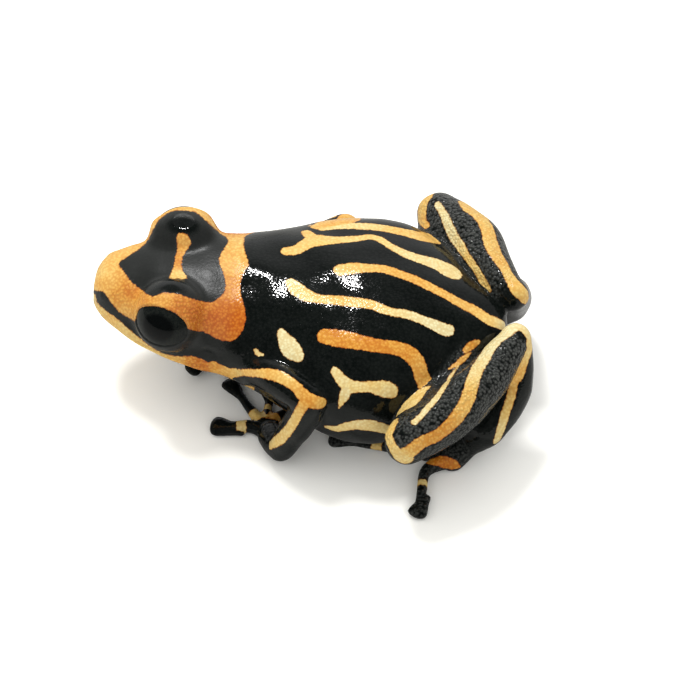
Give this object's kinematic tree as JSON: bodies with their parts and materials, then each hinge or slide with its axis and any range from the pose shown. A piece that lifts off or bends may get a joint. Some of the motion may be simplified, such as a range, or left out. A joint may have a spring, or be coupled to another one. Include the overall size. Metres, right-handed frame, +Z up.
{
  "type": "poison frog",
  "caption": "Life-size still model of a summers poison frog: small black frog with orange and cream stripes, sitting with its head up and legs folded.",
  "frame": {"origin": "centre of the bounding box on the floor that the frog sits on", "axes": "the head points along -X, the frog's left side is -Y, +Z is up"},
  "size_m": [0.0184, 0.0148, 0.0065],
  "materials": {
    "skin": "moist fine-grained skin, glossy black with orange to cream stripes",
    "eye": "wet, black, mirror-smooth cornea"
  },
  "bodies": {
    "root": {"head": "skin", "torso": "skin", "eye_left": "eye", "eye_right": "eye", "upper_arm_left": "skin", "forearm_left": "skin", "hand_left": "skin", "thigh_left": "skin", "shank_left": "skin", "tarsus_left": "skin", "foot_left": "skin", "upper_arm_right": "skin", "forearm_right": "skin", "hand_right": "skin", "thigh_right": "skin", "shank_right": "skin", "tarsus_right": "skin", "foot_right": "skin"}
  },
  "joints": []
}
